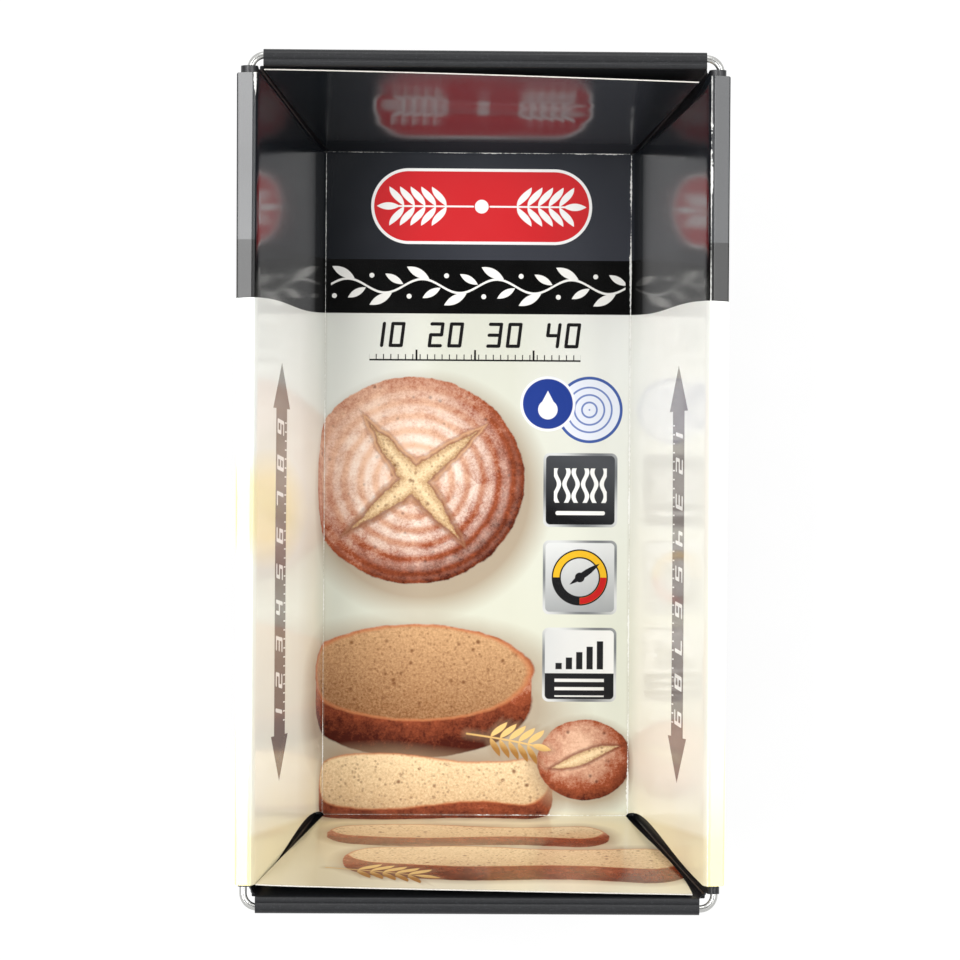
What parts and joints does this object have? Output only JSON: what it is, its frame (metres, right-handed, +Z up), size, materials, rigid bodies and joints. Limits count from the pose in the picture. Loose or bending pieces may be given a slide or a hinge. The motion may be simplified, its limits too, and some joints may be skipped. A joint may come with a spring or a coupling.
{
  "type": "adjustable loaf pan",
  "caption": "Folded sheet-metal loaf pan in nested halves that slide to set its length, with wire in its rolled rims and a removable card liner hooked over the long sides.",
  "frame": {"origin": "on the table, under the middle of the closed pan", "axes": "+Y is the way the inner trough slides out, +Z is up, +X is across the pan"},
  "size_m": [0.16, 0.28, 0.0907],
  "materials": {
    "coated_steel": "dark non-stick coating, satin",
    "bright_wire": "bright drawn steel",
    "printed_card": "printed on the inside, semi-gloss; plain on the back"
  },
  "bodies": {
    "outer_half": {"outer_trough": "coated_steel", "outer_rim_wire": "bright_wire"},
    "inner_half": {"inner_trough": "coated_steel", "inner_rim_wire": "bright_wire"},
    "liner": {"card_liner": "printed_card"}
  },
  "joints": [
    {"name": "pan_slide", "type": "slide", "parent": "outer_half", "child": "inner_half", "axis": [0, 1, 0], "range_m": [0, 0.12]},
    {"name": "liner_lift", "type": "slide", "parent": "outer_half", "child": "liner", "axis": [0, 0, 1], "range_m": [0, 0.11]}
  ]
}
